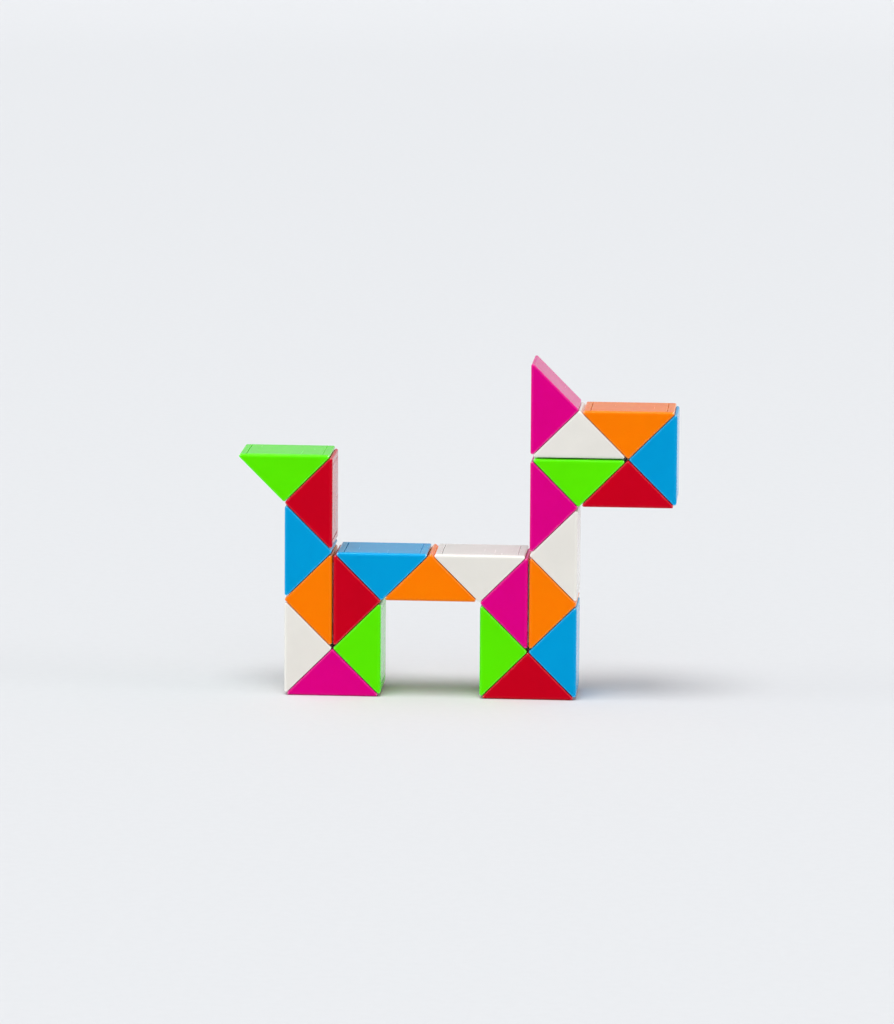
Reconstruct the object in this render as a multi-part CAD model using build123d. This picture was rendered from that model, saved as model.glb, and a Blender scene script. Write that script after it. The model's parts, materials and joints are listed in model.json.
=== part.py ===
from build123d import *
import os
from math import sqrt

# Twisty snake puzzle: a chain of 24 equal right-angled wedges, folded flat into a dog.
# Millimetres. Seen from the front, +X runs from the tail to the head, +Z is up and +Y is the back.
# The origin is at the middle of the figure's length and depth, on the surface its feet stand on.
#
# Every wedge is a hollow shell, open on its long face, and a cover plate that closes the long face.
# Neighbours meet on their square faces, where a bolt, spring, two washers and a nut hold them
# together and let them turn. The spring end sits in the even wedges, the nut end in the odd ones.

# Driving dimensions
FACE_PITCH = 17.0            # side of the square face, from the middle of one joint gap to the next
WEDGE_COUNT = 24
JOINT_GAP = 0.12             # between the square faces of neighbours in the chain
LONG_FACE_GAP = 0.3          # between two long faces that are folded against each other
DEPTH_GAP = 0.4              # what the wedge's depth lacks of a full face pitch
CORNER_RADIUS = 0.5          # of the three edges that run through a wedge's depth
EDGE_RADIUS = 0.3            # round the outline of its triangular faces
LONG_EDGE_RADIUS = 0.7       # of the two edges between the long face and the triangular faces
WALL = 1.2

COVER_THICKNESS = 1.2
COVER_LENGTH = 18.8          # the recess that the cover drops into
COVER_WIDTH = 15.0
COVER_SEAM = 0.1             # clearance all round the cover
COVER_EDGE_RADIUS = 0.2

POST_RADIUS = 1.3            # posts inside the shell take the cover's pegs
POST_HEIGHT = 3.2
POST_X = 4.0
POST_Y = 5.9
PEG_RADIUS = 0.75
PEG_LENGTH = 2.4
PEG_CLEARANCE = 0.06

DETENT_COUNT = 4             # a click at each quarter turn
DETENT_CIRCLE_RADIUS = 6.4
BUMP_RADIUS = 0.85
BUMP_HEIGHT = 0.08
DIMPLE_RADIUS = 1.0
DIMPLE_DEPTH = 0.25
DETENT_TOP_RATIO = 0.6       # top radius over base radius of both

BOLT_RADIUS = 1.0
BOLT_CLEARANCE = 0.08
BOLT_HEAD_RADIUS = 1.8
BOLT_HEAD_HEIGHT = 1.0
BOLT_HEAD_ROUND = 0.45
RECESS_WIDTH = 0.45
RECESS_SPAN = 1.9
RECESS_DEPTH = 0.5
BOLT_END = 3.7               # how far the bolt reaches into the odd wedge

SPRING_RADIUS = 1.55         # of the coil's centre line
SPRING_WIRE_RADIUS = 0.18
SPRING_PITCH = 0.5
SPRING_TURNS = 3

WASHER_RADIUS = 2.1
WASHER_THICKNESS = 0.3
NUT_ACROSS_FLATS = 4.0
NUT_THICKNESS = 1.6
HARDWARE_CLEARANCE = 0.05    # between stacked pieces of hardware

# How each of the 23 pivots is turned in this figure, from the tail tip to the ear tip.
# C: curled, the right-angled edges of both wedges meet. S: straight, they are on opposite sides.
PIVOT_TURNS = "CSSSCCSCSSCSCCSSSCSCCSC"
TURN_DEGREES = {"C": 0, "S": 180}

# Worked out from the driving dimensions
HALF_LONG = FACE_PITCH / sqrt(2)
HALF_DEPTH = (FACE_PITCH - DEPTH_GAP) / 2
LEG_INSET = JOINT_GAP / 2
LONG_INSET = LONG_FACE_GAP / 2
LEDGE = LONG_INSET + COVER_THICKNESS
INNER_WALL = LEG_INSET + WALL

# A wedge's own frame: origin at the middle of its long face, X along the long face and
# Z towards its right-angled edge. The chain enters at the -X square face and leaves at the +X one.
# Both pivot frames have Z along the chain, and Y towards the right-angled edge.
ENTRY = Plane(origin=(-HALF_LONG / 2, 0, HALF_LONG / 2), x_dir=(0, 1, 0), z_dir=(1, 0, -1)).location
EXIT = Plane(origin=(HALF_LONG / 2, 0, HALF_LONG / 2), x_dir=(0, 1, 0), z_dir=(1, 0, 1)).location
TURN_ROUND = Rot(180, 0, 0)

STANDING = (Align.CENTER, Align.CENTER, Align.MIN)
HANGING = (Align.CENTER, Align.CENTER, Align.MAX)

# The tail tip lies with its long face up, five half-lengths above the feet.
TAIL_TIP = Plane(origin=(HALF_LONG, 0, 5 * HALF_LONG), x_dir=(1, 0, 0), z_dir=(0, 0, -1)).location


def wedge_prism(leg_inset, base, half_depth):
    """A triangular prism inset from the square faces, from the height base up to its edge."""
    reach = HALF_LONG - leg_inset * sqrt(2)
    outline = Polyline((base - reach, base), (reach - base, base), (0, reach), close=True)
    return extrude(Plane.XZ * make_face(outline), amount=half_depth, both=True)


def rounded_wedge():
    """The outside of a wedge as a solid block."""
    block = wedge_prism(LEG_INSET, LONG_INSET, HALF_DEPTH)
    block = fillet(block.edges().filter_by(Axis.Y), CORNER_RADIUS)
    block = fillet(block.faces().filter_by(Axis.Y).edges(), EDGE_RADIUS)

    # A longer bar with rounded lower edges has only those edges to give to the block.
    bar = Pos(0, 0, LONG_INSET) * Box(4 * HALF_LONG, 2 * HALF_DEPTH, 2 * HALF_LONG, align=STANDING)
    low_edges = bar.edges().filter_by(Axis.X).group_by(Axis.Z)[0]
    return block & fillet(low_edges, LONG_EDGE_RADIUS)


def post_positions():
    """The four places of the posts and pegs under the long face."""
    return [(x, y) for x in (-POST_X, POST_X) for y in (-POST_Y, POST_Y)]


def detent_cones(face, radius, height):
    """The truncated cones of the clicks, with a short root behind the plane they stand on."""
    cone = Cone(radius, radius * DETENT_TOP_RATIO, height, align=STANDING)
    cone += Cylinder(radius, WALL / 2, align=HANGING)
    spots = PolarLocations(DETENT_CIRCLE_RADIUS, DETENT_COUNT, start_angle=45)
    return [face * spot * cone for spot in spots]


def face_frame(is_exit):
    """The frame on a square face's skin, with Z out of the wedge."""
    if is_exit:
        return EXIT * Pos(0, 0, -LEG_INSET)
    return ENTRY * TURN_ROUND * Pos(0, 0, -LEG_INSET)


def wedge_shell(is_odd, pivots):
    """The open shell. pivots lists which square faces carry a pivot: True for the exit."""
    shell = rounded_wedge() - wedge_prism(INNER_WALL, LEDGE, HALF_DEPTH - WALL)
    shell -= Box(COVER_LENGTH, COVER_WIDTH, 2 * LEDGE)
    for x, y in post_positions():
        foot = Pos(x, y, LEDGE)
        shell += foot * Cylinder(POST_RADIUS, POST_HEIGHT, align=STANDING)
        shell -= foot * Cylinder(PEG_RADIUS + PEG_CLEARANCE, 2 * (PEG_LENGTH + PEG_CLEARANCE))
    for is_exit in pivots:
        face = face_frame(is_exit)
        shell -= face * Cylinder(BOLT_RADIUS + BOLT_CLEARANCE, 3 * WALL)
        if is_odd:
            for bump in detent_cones(face, BUMP_RADIUS, BUMP_HEIGHT):
                shell += bump
        else:
            for dimple in detent_cones(face * TURN_ROUND, DIMPLE_RADIUS, DIMPLE_DEPTH):
                shell -= dimple
    return shell


def wedge_cover():
    """The plate that closes the long face, flush with the shell's rim, and its four pegs."""
    plate = Pos(0, 0, LONG_INSET) * Box(
        COVER_LENGTH - 2 * COVER_SEAM,
        COVER_WIDTH - 2 * COVER_SEAM,
        COVER_THICKNESS - HARDWARE_CLEARANCE,
        align=STANDING,
    )
    outer_edges = plate.edges().group_by(Axis.Z)[0]
    cover = fillet(outer_edges, COVER_EDGE_RADIUS)
    for x, y in post_positions():
        root = LEDGE - COVER_THICKNESS / 2
        cover += Pos(x, y, root) * Cylinder(PEG_RADIUS, LEDGE + PEG_LENGTH - root, align=STANDING)
    return cover


# The hardware is made in a pivot frame whose Z points into the even wedge.
SPRING_START = INNER_WALL + HARDWARE_CLEARANCE
SPRING_LENGTH = SPRING_PITCH * SPRING_TURNS + 2 * SPRING_WIRE_RADIUS
SPRING_WASHER_START = SPRING_START + SPRING_LENGTH + HARDWARE_CLEARANCE
HEAD_START = SPRING_WASHER_START + WASHER_THICKNESS + HARDWARE_CLEARANCE
NUT_WASHER_START = -INNER_WALL - HARDWARE_CLEARANCE - WASHER_THICKNESS
NUT_START = NUT_WASHER_START - HARDWARE_CLEARANCE - NUT_THICKNESS


def upright_cylinder(radius, low, high):
    """A cylinder about Z from the height low to the height high."""
    return Pos(0, 0, (low + high) / 2) * Cylinder(radius, high - low)


def pivot_bolt():
    """Shank and domed head with a cross recess."""
    head = upright_cylinder(BOLT_HEAD_RADIUS, HEAD_START, HEAD_START + BOLT_HEAD_HEIGHT)
    head = fillet(head.edges().group_by(Axis.Z)[-1], BOLT_HEAD_ROUND)
    bolt = head + upright_cylinder(BOLT_RADIUS, -BOLT_END, HEAD_START)
    for spin in (0, 90):
        slot = Rot(0, 0, spin) * Box(RECESS_SPAN, RECESS_WIDTH, 2 * RECESS_DEPTH)
        bolt -= Pos(0, 0, HEAD_START + BOLT_HEAD_HEIGHT) * slot
    return bolt


def pivot_spring():
    """A short compression spring between the even wedge's wall and the washer."""
    coil = Helix(pitch=SPRING_PITCH, height=SPRING_PITCH * SPRING_TURNS, radius=SPRING_RADIUS)
    wire = Plane(origin=coil @ 0, z_dir=coil % 0) * Circle(SPRING_WIRE_RADIUS)
    spring = sweep(wire, path=coil, is_frenet=True)
    return Pos(0, 0, SPRING_START + SPRING_WIRE_RADIUS) * spring


def washer(start):
    """A flat washer from the height start upwards."""
    ring = upright_cylinder(WASHER_RADIUS, start, start + WASHER_THICKNESS)
    return ring - upright_cylinder(BOLT_RADIUS + BOLT_CLEARANCE, start - WALL, start + WALL)


def pivot_nut():
    """A hexagon nut on the bolt's end, without its thread."""
    hexagon = RegularPolygon(NUT_ACROSS_FLATS / 2, 6, major_radius=False)
    nut = Pos(0, 0, NUT_START) * extrude(hexagon, amount=NUT_THICKNESS)
    return nut - upright_cylinder(BOLT_RADIUS + HARDWARE_CLEARANCE, -2 * BOLT_END, 0)


def place_chain():
    """Each wedge's place in the figure, before the origin is moved under its middle."""
    places = [TAIL_TIP]
    for turn in PIVOT_TURNS:
        places.append(places[-1] * EXIT * Rot(0, 0, TURN_DEGREES[turn]) * ENTRY.inverse())
    return places


def wedge_pivots(number):
    """The square faces of a wedge that carry a pivot: the two ends of the chain have one each."""
    if number == 1:
        return (True,)
    if number == WEDGE_COUNT:
        return (False,)
    return (False, True)


chain = place_chain()
shells = {}
for number in range(1, WEDGE_COUNT + 1):
    shells[number] = chain[number - 1] * wedge_shell(number % 2 == 1, wedge_pivots(number))

# Move the origin under the middle of the figure, at the height of its feet.
figure_box = Compound(list(shells.values())).bounding_box()
CENTRING = Pos(-figure_box.center().X, 0, -figure_box.min.Z)
wedge_places = [CENTRING * place for place in chain]

# One pivot frame for each joint, with Z from the lower wedge number to the higher one.
pivot_places = [place * EXIT for place in wedge_places[:-1]]

cover = wedge_cover()
hardware = [
    pivot_bolt(),
    pivot_spring(),
    washer(SPRING_WASHER_START),
    washer(NUT_WASHER_START),
    pivot_nut(),
]

os.makedirs("parts", exist_ok=True)
for number in range(1, WEDGE_COUNT + 1):
    export_step(CENTRING * shells[number], f"parts/wedge_{number:02d}_shell.step")
    export_step(wedge_places[number - 1] * cover, f"parts/wedge_{number:02d}_cover.step")

# The hardware of a pivot rides in its even wedge, so each even wedge has that of both its pivots.
for number in range(2, WEDGE_COUNT + 1, 2):
    entering = pivot_places[number - 2]
    sets = [entering]
    if number < WEDGE_COUNT:
        leaving = pivot_places[number - 1]
        sets.append(leaving * TURN_ROUND)
    pieces = [place * piece for place in sets for piece in hardware]
    export_step(Compound(pieces), f"parts/pivot_hardware_{number:02d}.step")
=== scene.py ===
"""The looks of the twisty snake puzzle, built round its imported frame. Metres."""

import json
from math import cos, pi, radians, sin, tan

import bpy
from mathutils import Matrix, Vector

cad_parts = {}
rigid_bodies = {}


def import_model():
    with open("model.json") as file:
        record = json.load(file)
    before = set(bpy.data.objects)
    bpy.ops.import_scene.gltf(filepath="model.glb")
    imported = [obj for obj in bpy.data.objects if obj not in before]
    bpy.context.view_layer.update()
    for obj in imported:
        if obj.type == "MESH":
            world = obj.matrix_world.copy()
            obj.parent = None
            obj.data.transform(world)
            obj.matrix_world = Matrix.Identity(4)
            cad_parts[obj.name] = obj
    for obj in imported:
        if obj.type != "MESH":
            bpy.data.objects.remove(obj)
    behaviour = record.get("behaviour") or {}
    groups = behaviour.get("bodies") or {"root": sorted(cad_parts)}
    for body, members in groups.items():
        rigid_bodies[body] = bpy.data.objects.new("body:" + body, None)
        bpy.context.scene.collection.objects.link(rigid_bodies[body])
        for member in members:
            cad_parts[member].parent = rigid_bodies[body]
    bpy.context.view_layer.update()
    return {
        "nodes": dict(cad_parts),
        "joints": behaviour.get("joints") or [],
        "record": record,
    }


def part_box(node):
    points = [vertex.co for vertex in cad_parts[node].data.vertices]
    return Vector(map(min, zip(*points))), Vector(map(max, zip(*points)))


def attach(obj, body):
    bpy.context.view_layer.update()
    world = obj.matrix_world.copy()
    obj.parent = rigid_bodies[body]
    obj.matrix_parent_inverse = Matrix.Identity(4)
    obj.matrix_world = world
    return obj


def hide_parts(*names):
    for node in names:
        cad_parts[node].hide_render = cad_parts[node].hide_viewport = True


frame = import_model()

# The camera looks at the figure from the front, a little from the right and from above.
CAMERA_AZIMUTH = 3.92
CAMERA_ELEVATION = 9.29
CAMERA_ROLL = 0.39
CAMERA_DISTANCE = 1.495
CAMERA_LENS = 213.9
CAMERA_AIM = Vector((-0.00304, 0.00031, 0.04491))

# Plastic colours as they look in daylight, as red, green and blue from 0 to 255.
PLASTIC_COLOURS = {
    "green_plastic": (93, 231, 1),
    "red_plastic": (198, 0, 29),
    "blue_plastic": (0, 157, 213),
    "orange_plastic": (253, 127, 1),
    "white_plastic": (228, 225, 218),
    "magenta_plastic": (219, 0, 133),
}
STEEL_COLOUR = (196, 199, 205)
FLOOR_COLOUR = (212, 213, 215)
BACKDROP_COLOUR = (158, 160, 163)

# The plastic's finish
EDGE_RADIUS = 0.0005         # how far the look of an edge reaches
FLAT_IOR = 1.53              # of the flat faces
EDGE_IOR = 2.6               # of the polished edges
BLEED = 0.0008               # how far light spreads inside the plastic
FLAT_ROUGHNESS = 0.13
SMUDGE_ROUGHNESS = 0.08      # what a smudge, a hairline or a rubbed edge adds
HAIR_ROUGHNESS = 0.14
RUB_ROUGHNESS = 0.12
RELIEF = 0.00004             # height of the moulded skin's waviness


def linear(colour):
    """A display colour, with parts from 0 to 255, as linear light."""
    parts = [value / 255 for value in colour]
    return [part / 12.92 if part <= 0.04045 else ((part + 0.055) / 1.055) ** 2.4 for part in parts]


class Nodes:
    """A material's node tree, with short ways to add and link nodes."""

    def __init__(self, name):
        self.material = bpy.data.materials.new(name)
        self.material.use_nodes = True
        self.tree = self.material.node_tree
        self.shader = self.tree.nodes["Principled BSDF"]

    def add(self, kind, inputs=(), **settings):
        """A node of that kind. inputs is a list of (socket, value or other node's output)."""
        node = self.tree.nodes.new("ShaderNode" + kind)
        for key, value in settings.items():
            setattr(node, key, value)
        for socket, value in inputs:
            self.put(node.inputs[socket], value)
        return node

    def put(self, socket, value):
        """Links an output to the socket, or sets its value."""
        if isinstance(value, bpy.types.NodeSocket):
            self.tree.links.new(value, socket)
        else:
            socket.default_value = value

    def set(self, **inputs):
        """Sets the shader's inputs, with an underscore for each space in a name."""
        for name, value in inputs.items():
            self.put(self.shader.inputs[name.replace("_", " ")], value)

    def maths(self, operation, first, second):
        return self.add("Math", [(0, first), (1, second)], operation=operation).outputs[0]

    def total(self, *values):
        """The sum of several values."""
        result = values[0]
        for value in values[1:]:
            result = self.maths("ADD", result, value)
        return result

    def ramp(self, value, low, high, start=0.0, end=1.0):
        """value from low to high becomes start to end, held outside."""
        node = self.add(
            "MapRange",
            [("Value", value), ("From Min", low), ("From Max", high), ("To Min", start), ("To Max", end)],
        )
        return node.outputs["Result"]

    def noise(self, place, scale, detail=2.0, roughness=0.5, distortion=0.0):
        node = self.add(
            "TexNoise",
            [
                ("Vector", place),
                ("Scale", scale),
                ("Detail", detail),
                ("Roughness", roughness),
                ("Distortion", distortion),
            ],
        )
        return node.outputs["Fac"]

    def scaled(self, colour, factor):
        """A colour times a value."""
        return self.add("VectorMath", [(0, colour), ("Scale", factor)], operation="SCALE").outputs[0]

    def blend(self, factor, first, second):
        """From the first colour to the second."""
        mix = self.add("Mix", [("Factor", factor)], data_type="RGBA")
        colour_sockets = [socket for socket in mix.inputs if socket.type == "RGBA"]
        self.put(colour_sockets[0], first)
        self.put(colour_sockets[1], second)
        return next(socket for socket in mix.outputs if socket.type == "RGBA")


def own_place(nodes):
    """Coordinates fixed to the piece, moved by a different step on each piece."""
    place = nodes.add("TexCoord").outputs["Object"]
    chance = nodes.add("ObjectInfo").outputs["Random"]
    step = nodes.add("CombineXYZ", [(0, chance), (1, nodes.maths("MULTIPLY", chance, 7.0)), (2, chance)])
    return nodes.add("VectorMath", [(0, place), (1, step.outputs[0])], operation="ADD").outputs[0]


def edge_mask(nodes, radius):
    """One on the rounded edges and nought on the flat faces."""
    rounded = nodes.add("Bevel", [("Radius", radius)], samples=6).outputs[0]
    flat = nodes.add("NewGeometry").outputs["Normal"]
    likeness = nodes.add("VectorMath", [(0, rounded), (1, flat)], operation="DOT_PRODUCT").outputs["Value"]
    return nodes.ramp(likeness, 0.998, 0.94)


def scratches(nodes, place, turn, scale):
    """Fine hairlines in one direction."""
    stretched = (scale, scale * 0.02, scale)
    spun = nodes.add("Mapping", [("Vector", place), ("Rotation", turn), ("Scale", stretched)])
    lines = nodes.noise(spun.outputs[0], scale=1.0, detail=3.0, roughness=0.7)
    return nodes.ramp(lines, 0.66, 0.72)


def plastic_material(name, colour):
    """Glossy moulded plastic that lets a little light through."""
    nodes = Nodes(name)
    place = own_place(nodes)
    base = linear(colour)

    # The pigment is nearly even, with a faint flow and cloud in it.
    flow = nodes.noise(place, scale=90.0, detail=3.0, roughness=0.55, distortion=1.2)
    cloud = nodes.noise(place, scale=28.0)
    tone = nodes.total(
        nodes.ramp(flow, 0.3, 0.7, start=-0.018, end=0.018),
        nodes.ramp(cloud, 0.3, 0.7, start=0.978, end=1.022),
    )
    body = nodes.scaled(base, tone)

    # Painted highlight: the rounded edges get a paler base colour in uneven patches, with a whiter
    # specular tint and a higher IOR that make them brighter, and a little more roughness.
    edge = edge_mask(nodes, EDGE_RADIUS)
    edge_patchiness = nodes.ramp(nodes.noise(place, scale=420.0, detail=3.0), 0.3, 0.6, start=0.75, end=1.0)
    painted_highlight_and_rub = nodes.maths("MULTIPLY", edge, edge_patchiness)
    # The painted highlight's colour, paler than the plastic's own.
    pale = [min(part * 1.3 + 0.02, 1.0) for part in base]
    tint = [part * 0.97 + 0.03 for part in base]
    nodes.set(
        Base_Color=nodes.blend(painted_highlight_and_rub, body, (*pale, 1.0)),
        Specular_Tint=nodes.blend(painted_highlight_and_rub, (*tint, 1.0), (1.0, 1.0, 1.0, 1.0)),
        IOR=nodes.total(FLAT_IOR, nodes.maths("MULTIPLY", painted_highlight_and_rub, EDGE_IOR - FLAT_IOR)),
    )

    # Smudges and hairlines in two directions dull the gloss.
    hairs = nodes.maths(
        "MAXIMUM",
        scratches(nodes, place, turn=(0.3, 0.9, 0.5), scale=2600.0),
        scratches(nodes, place, turn=(1.1, -0.7, 2.0), scale=2200.0),
    )
    grease = nodes.noise(place, scale=120.0, detail=4.0, roughness=0.6)
    smudge = nodes.ramp(grease, 0.35, 0.75, start=0.0, end=SMUDGE_ROUGHNESS)
    nodes.set(
        Roughness=nodes.total(
            FLAT_ROUGHNESS,
            smudge,
            nodes.maths("MULTIPLY", hairs, HAIR_ROUGHNESS),
            nodes.maths("MULTIPLY", painted_highlight_and_rub, RUB_ROUGHNESS),
        )
    )

    # The skin has a fine peel and broad sink marks, and the hairlines are cut into it.
    peel = nodes.maths("MULTIPLY", nodes.noise(place, scale=900.0), 0.35)
    sink = nodes.noise(place, scale=75.0, detail=1.0)
    height = nodes.maths("SUBTRACT", nodes.total(peel, sink), nodes.maths("MULTIPLY", hairs, 0.2))
    bump = nodes.add("Bump", [("Strength", 0.25), ("Distance", RELIEF), ("Height", height)])
    nodes.set(
        Normal=bump.outputs[0],
        Subsurface_Weight=0.5,
        Subsurface_Radius=(1.0, 1.0, 1.0),
        Subsurface_Scale=BLEED,
    )
    return nodes.material


def steel_material():
    """Zinc plated steel."""
    nodes = Nodes("plated_steel")
    place = own_place(nodes)
    spangle = nodes.noise(place, scale=1800.0, detail=3.0, roughness=0.6)
    bump = nodes.add("Bump", [("Strength", 0.2), ("Distance", 0.00002), ("Height", spangle)])
    nodes.set(
        Base_Color=nodes.scaled(linear(STEEL_COLOUR), nodes.ramp(spangle, 0.3, 0.7, start=0.9, end=1.05)),
        Metallic=1.0,
        Roughness=nodes.ramp(spangle, 0.3, 0.7, start=0.22, end=0.4),
        Normal=bump.outputs[0],
    )
    return nodes.material


materials = {name: plastic_material(name, colour) for name, colour in PLASTIC_COLOURS.items()}
materials["plated_steel"] = steel_material()
for part in frame["record"]["subparts"]:
    node = frame["nodes"][part["node"]]
    node.data.materials.clear()
    node.data.materials.append(materials[part["material_slot"]])


# The pivots' hardware. A pivot's own frame has Z along its axis into the even wedge, and its origin
# between the two square faces. These sizes are in millimetres and repeat the frame's.
MM = 0.001
AROUND = 48                  # steps round a turned piece
INNER_WALL = 1.26            # from the origin to the inside of either wedge's wall
CLEARANCE = 0.05             # between stacked pieces
SPRING_RADIUS = 1.55
WIRE_RADIUS = 0.18
SPRING_LENGTH = 1.86
SPRING_TURNS = 3.5
WASHER_RADIUS = 2.1
WASHER_THICKNESS = 0.3
WASHER_BORE = 1.08
BOLT_RADIUS = 1.0
BOLT_END = 3.7               # how far the bolt reaches into the odd wedge
HEAD_RADIUS = 1.8
HEAD_HEIGHT = 1.0
HEAD_ROUND = 0.45
RECESS_SPAN = 1.9
RECESS_WIDTH = 0.45
RECESS_DEPTH = 0.5
THREAD_PITCH = 0.4
THREAD_DEPTH = 0.2
THREAD_STEPS = 8             # rows of points in one pitch
NUT_ACROSS_FLATS = 4.0
NUT_THICKNESS = 1.6
NUT_CHAMFER = 0.2            # height of the chamfer, which slopes at 30 degrees
BROKEN_EDGE = 0.04           # of the washers
CLOSED_TURN = 0.75           # turns at each end of the spring that lie against the next
COIL_PITCH = 2.04 * WIRE_RADIUS  # of the closed turns, a hair more than the wire's width
WIRE_SIDES = 14
SPRING_START = INNER_WALL + CLEARANCE
SPRING_WASHER_START = SPRING_START + SPRING_LENGTH + CLEARANCE
HEAD_START = SPRING_WASHER_START + WASHER_THICKNESS + CLEARANCE
NUT_WASHER_START = -INNER_WALL - CLEARANCE - WASHER_THICKNESS
NUT_START = NUT_WASHER_START - CLEARANCE - NUT_THICKNESS


def steel_mesh(name, points, faces):
    """A mesh of plated steel from points in millimetres, smooth but for its sharp edges."""
    mesh = bpy.data.meshes.new(name)
    mesh.from_pydata([Vector(point) * MM for point in points], [], faces)
    mesh.shade_smooth()
    mesh.set_sharp_from_angle(angle=radians(32))
    mesh.materials.append(materials["plated_steel"])
    return mesh


def bridged(rows, around, closed):
    """The faces between rows of points round an axis, with a cap at each end or joined in a loop."""
    faces = []
    for row in range(rows if closed else rows - 1):
        for step in range(around):
            after = (step + 1) % around
            low, high = row * around, (row + 1) % rows * around
            faces.append((low + step, low + after, high + after, high + step))
    if not closed:
        faces.append(tuple(range(around - 1, -1, -1)))
        faces.append(tuple((rows - 1) * around + step for step in range(around)))
    return faces


def turned(name, profile, closed=False):
    """A piece turned about Z. profile lists (radius, height); a radius may be a function of the angle."""
    points = []
    for radius, height in profile:
        for step in range(AROUND):
            angle = 2 * pi * step / AROUND
            reach = radius(angle) if callable(radius) else radius
            points.append((reach * cos(angle), reach * sin(angle), height))
    return steel_mesh(name, points, bridged(len(profile), AROUND, closed))


def thread(height, clearance=0.0):
    """The radius round the bolt's thread at that height, as a function of the angle."""
    root_flat = 0.2          # of each pitch

    def radius(angle):
        phase = (height / THREAD_PITCH - angle / (2 * pi)) % 1
        cut = min(abs(2 * phase - 1) / (1 - root_flat), 1)
        return BOLT_RADIUS + clearance - THREAD_DEPTH * cut

    return radius


def threaded(low, high, clearance=0.0):
    """The rows of a thread between two heights."""
    rows = round((high - low) / THREAD_PITCH * THREAD_STEPS)
    heights = [low + (high - low) * row / rows for row in range(rows + 1)]
    return [(thread(height, clearance), height) for height in heights]


def cross_cutter():
    """Two crossed bars, narrower at the bottom, that cut the recess of the bolt's head."""
    top = HEAD_START + HEAD_HEIGHT
    taper = 0.4              # of the span, from the head's top to the recess's floor
    levels = ((top - RECESS_DEPTH, 1 - taper), (top + RECESS_DEPTH, 1 + taper))
    box = [(0, 3, 2, 1), (4, 5, 6, 7), (0, 1, 5, 4), (1, 2, 6, 5), (2, 3, 7, 6), (3, 0, 4, 7)]
    points, faces = [], []
    for is_crossed in (False, True):
        faces += [tuple(len(points) + corner for corner in face) for face in box]
        for height, span in levels:
            for x, y in ((-1, -1), (1, -1), (1, 1), (-1, 1)):
                along = x * RECESS_SPAN / 2 * span
                across = y * RECESS_WIDTH / 2 * span
                points.append((across, -along, height) if is_crossed else (along, across, height))
    return steel_mesh("cross_cutter", points, faces)


def bolt_mesh():
    """A pan head bolt with a cross recess, threaded where it meets the nut."""
    thread_end = NUT_WASHER_START + WASHER_THICKNESS
    dome = [radians(angle) for angle in range(0, 91, 15)]
    crown = HEAD_START + HEAD_HEIGHT - HEAD_ROUND
    profile = [(BOLT_RADIUS - THREAD_DEPTH, -BOLT_END)]
    profile += threaded(-BOLT_END + THREAD_DEPTH / 2, thread_end)
    profile += [(BOLT_RADIUS, thread_end + THREAD_DEPTH / 2), (BOLT_RADIUS, HEAD_START)]
    profile += [(HEAD_RADIUS, HEAD_START)]
    profile += [
        (HEAD_RADIUS - HEAD_ROUND * (1 - cos(angle)), crown + HEAD_ROUND * sin(angle)) for angle in dome
    ]
    blank = bpy.data.objects.new("bolt_blank", turned("bolt_blank", profile))
    cutter = bpy.data.objects.new("cross_cutter", cross_cutter())
    for piece in (blank, cutter):
        bpy.context.scene.collection.objects.link(piece)
    cut = blank.modifiers.new("recess", "BOOLEAN")
    cut.operation = "DIFFERENCE"
    cut.solver = "EXACT"
    cut.use_self = True
    cut.object = cutter
    mesh = bpy.data.meshes.new_from_object(blank.evaluated_get(bpy.context.evaluated_depsgraph_get()))
    mesh.name = "pivot_bolt"
    for piece in (blank, cutter):
        bpy.data.objects.remove(piece)
    return mesh


def nut_mesh():
    """A hexagon nut with chamfered corners and a thread."""
    flat = NUT_ACROSS_FLATS / 2
    chamfer_steps = 4

    def hexagon(rise):
        """The radius round the nut that far from its end, as a function of the angle."""
        limit = flat + rise / tan(radians(30))
        return lambda angle: min(flat / cos((angle + pi / 6) % (pi / 3) - pi / 6), limit)

    rises = [NUT_CHAMFER * step / chamfer_steps for step in range(chamfer_steps + 1)]
    top = NUT_START + NUT_THICKNESS
    low = [(hexagon(rise), NUT_START + rise) for rise in rises]
    high = [(hexagon(rise), top - rise) for rise in reversed(rises)]
    bore = threaded(NUT_START, top, CLEARANCE)
    return turned("pivot_nut", low + high + bore[::-1], closed=True)


def washer_mesh(name, start):
    """A flat washer with broken edges."""
    end = start + WASHER_THICKNESS
    profile = [
        (WASHER_BORE + BROKEN_EDGE, start),
        (WASHER_RADIUS - BROKEN_EDGE, start),
        (WASHER_RADIUS, start + BROKEN_EDGE),
        (WASHER_RADIUS, end - BROKEN_EDGE),
        (WASHER_RADIUS - BROKEN_EDGE, end),
        (WASHER_BORE + BROKEN_EDGE, end),
        (WASHER_BORE, end - BROKEN_EDGE),
        (WASHER_BORE, start + BROKEN_EDGE),
    ]
    return turned(name, profile, closed=True)


def spring_climb(turns):
    """The height of the wire that many turns from the spring's lower end."""
    rise = SPRING_LENGTH - 2 * WIRE_RADIUS
    closed_rise = CLOSED_TURN * COIL_PITCH
    from_end = min(turns, SPRING_TURNS - turns)
    if from_end < CLOSED_TURN:
        climb = from_end / CLOSED_TURN * closed_rise
        return climb if turns == from_end else rise - climb
    open_share = (turns - CLOSED_TURN) / (SPRING_TURNS - 2 * CLOSED_TURN)
    return closed_rise + (rise - 2 * closed_rise) * open_share


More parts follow.
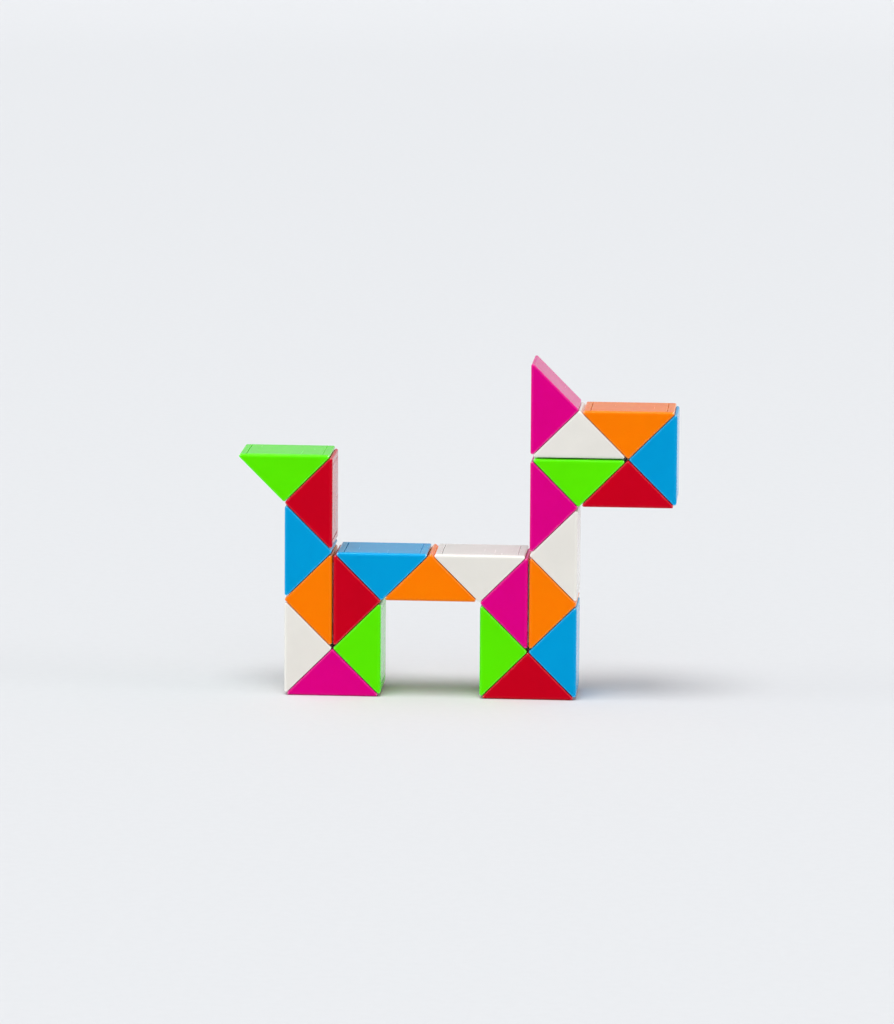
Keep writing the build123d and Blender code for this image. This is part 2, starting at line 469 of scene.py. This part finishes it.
def spring_mesh():
    """A compression spring with closed ends."""
    steps = round(SPRING_TURNS * AROUND)
    points = []
    for step in range(steps + 1):
        turns = SPRING_TURNS * step / steps
        angle = 2 * pi * turns
        for side in range(WIRE_SIDES):
            round_wire = -2 * pi * side / WIRE_SIDES
            reach = SPRING_RADIUS + WIRE_RADIUS * cos(round_wire)
            height = SPRING_START + WIRE_RADIUS + spring_climb(turns) + WIRE_RADIUS * sin(round_wire)
            points.append((reach * cos(angle), reach * sin(angle), height))
    return steel_mesh("pivot_spring", points, bridged(steps + 1, WIRE_SIDES, closed=False))


def pivot_place(joint):
    """The pivot's frame, and the number of the even wedge that its Z points into."""
    numbers = [int(joint[end].split("_")[1]) for end in ("parent", "child")]
    even = next(number for number in numbers if number % 2 == 0)
    centre = Vector(joint["pos_m"])
    shell_low, shell_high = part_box(f"wedge_{even:02d}_shell")
    axis = Vector(joint["axis"]).normalized()
    if axis.dot((shell_low + shell_high) / 2 - centre) < 0:
        axis = -axis
    across = Vector((0, 1, 0))
    turn = Matrix((across, axis.cross(across), axis)).transposed().to_4x4()
    return Matrix.Translation(centre) @ turn, even


def add_hardware():
    """The bolt, spring, washers and nut of every pivot, in place of the frame's plain ones."""
    meshes = {
        "pivot_bolt": bolt_mesh(),
        "pivot_spring": spring_mesh(),
        "spring_washer": washer_mesh("spring_washer", SPRING_WASHER_START),
        "nut_washer": washer_mesh("nut_washer", NUT_WASHER_START),
        "pivot_nut": nut_mesh(),
    }
    for joint in frame["joints"]:
        place, even = pivot_place(joint)
        number = joint["name"].split("_")[1]
        for name, mesh in meshes.items():
            piece = bpy.data.objects.new(f"{name}_{number}", mesh)
            bpy.context.scene.collection.objects.link(piece)
            piece.matrix_world = place
            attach(piece, f"wedge_{even:02d}")
            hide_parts(f"pivot_hardware_{even:02d}")


def add_floor():
    """A pale floor that curves up into a backdrop, which is darker where the figure's top mirrors it."""
    reach, rise, bend = 3.0, 2.5, 1.2
    steps = 24
    dark_start, dark_full = reach - 0.65 * bend, reach - 0.3 * bend
    profile = [(-reach, 0.0)]
    for step in range(steps + 1):
        angle = radians(90 * step / steps)
        profile.append((reach - bend + bend * sin(angle), bend - bend * cos(angle)))
    profile.append((reach, bend + rise))
    points = [(x, y, z) for y, z in profile for x in (-2 * reach, 2 * reach)]
    faces = [(2 * i, 2 * i + 1, 2 * i + 3, 2 * i + 2) for i in range(len(profile) - 1)]
    mesh = bpy.data.meshes.new("floor")
    mesh.from_pydata(points, [], faces)
    mesh.shade_smooth()
    floor = bpy.data.objects.new("floor", mesh)
    bpy.context.scene.collection.objects.link(floor)
    nodes = Nodes("floor")
    place = nodes.add("TexCoord").outputs["Object"]
    grain = nodes.ramp(nodes.noise(place, scale=400.0), 0.3, 0.7, start=0.985, end=1.0)
    depth = nodes.add("SeparateXYZ", [(0, place)]).outputs["Y"]
    paper = nodes.blend(
        nodes.ramp(depth, dark_start, dark_full),
        (*linear(FLOOR_COLOUR), 1.0),
        (*linear(BACKDROP_COLOUR), 1.0),
    )
    nodes.set(
        Base_Color=nodes.scaled(paper, grain),
        Roughness=0.75,
        Specular_IOR_Level=0.2,
    )
    mesh.materials.append(nodes.material)


def direction(azimuth, elevation):
    """From the figure towards something at that azimuth, where 0 is in front, and elevation."""
    turn, tilt = radians(azimuth), radians(elevation)
    return Vector((sin(turn) * cos(tilt), -cos(turn) * cos(tilt), sin(tilt)))


def add_light(name, azimuth, elevation, spread, strength):
    """A soft far light. spread is the width in degrees that it takes up in the sky."""
    light = bpy.data.lights.new(name, "SUN")
    light.angle = radians(spread)
    light.energy = strength
    lamp = bpy.data.objects.new(name, light)
    lamp.rotation_euler = (-direction(azimuth, elevation)).to_track_quat("-Z", "Y").to_euler()
    bpy.context.scene.collection.objects.link(lamp)


def add_camera():
    """The camera at the viewing angle, with a hair of roll."""
    back = direction(CAMERA_AZIMUTH, CAMERA_ELEVATION)
    data = bpy.data.cameras.new("camera")
    data.lens = CAMERA_LENS
    data.clip_end = 50.0
    camera = bpy.data.objects.new("camera", data)
    camera.rotation_mode = "QUATERNION"
    roll = Matrix.Rotation(radians(CAMERA_ROLL), 4, "Z").to_quaternion()
    camera.rotation_quaternion = (-back).to_track_quat("-Z", "Y") @ roll
    camera.location = CAMERA_AIM + back * CAMERA_DISTANCE
    bpy.context.scene.collection.objects.link(camera)
    bpy.context.scene.camera = camera


add_hardware()
add_floor()
add_light("overhead_light", azimuth=-20, elevation=75, spread=30, strength=2.0)
add_light("front_light", azimuth=10, elevation=25, spread=50, strength=0.27)
add_light("left_light", azimuth=-80, elevation=15, spread=24, strength=0.7)
add_light("right_light", azimuth=80, elevation=15, spread=24, strength=0.7)
add_camera()

world = bpy.data.worlds.new("studio")
bpy.context.scene.world = world
world.use_nodes = True
sky = world.node_tree.nodes["Background"]
sky.inputs["Color"].default_value = (0.96, 0.98, 1.0, 1.0)
sky.inputs["Strength"].default_value = 0.6
bpy.context.scene.view_settings.view_transform = "Standard"
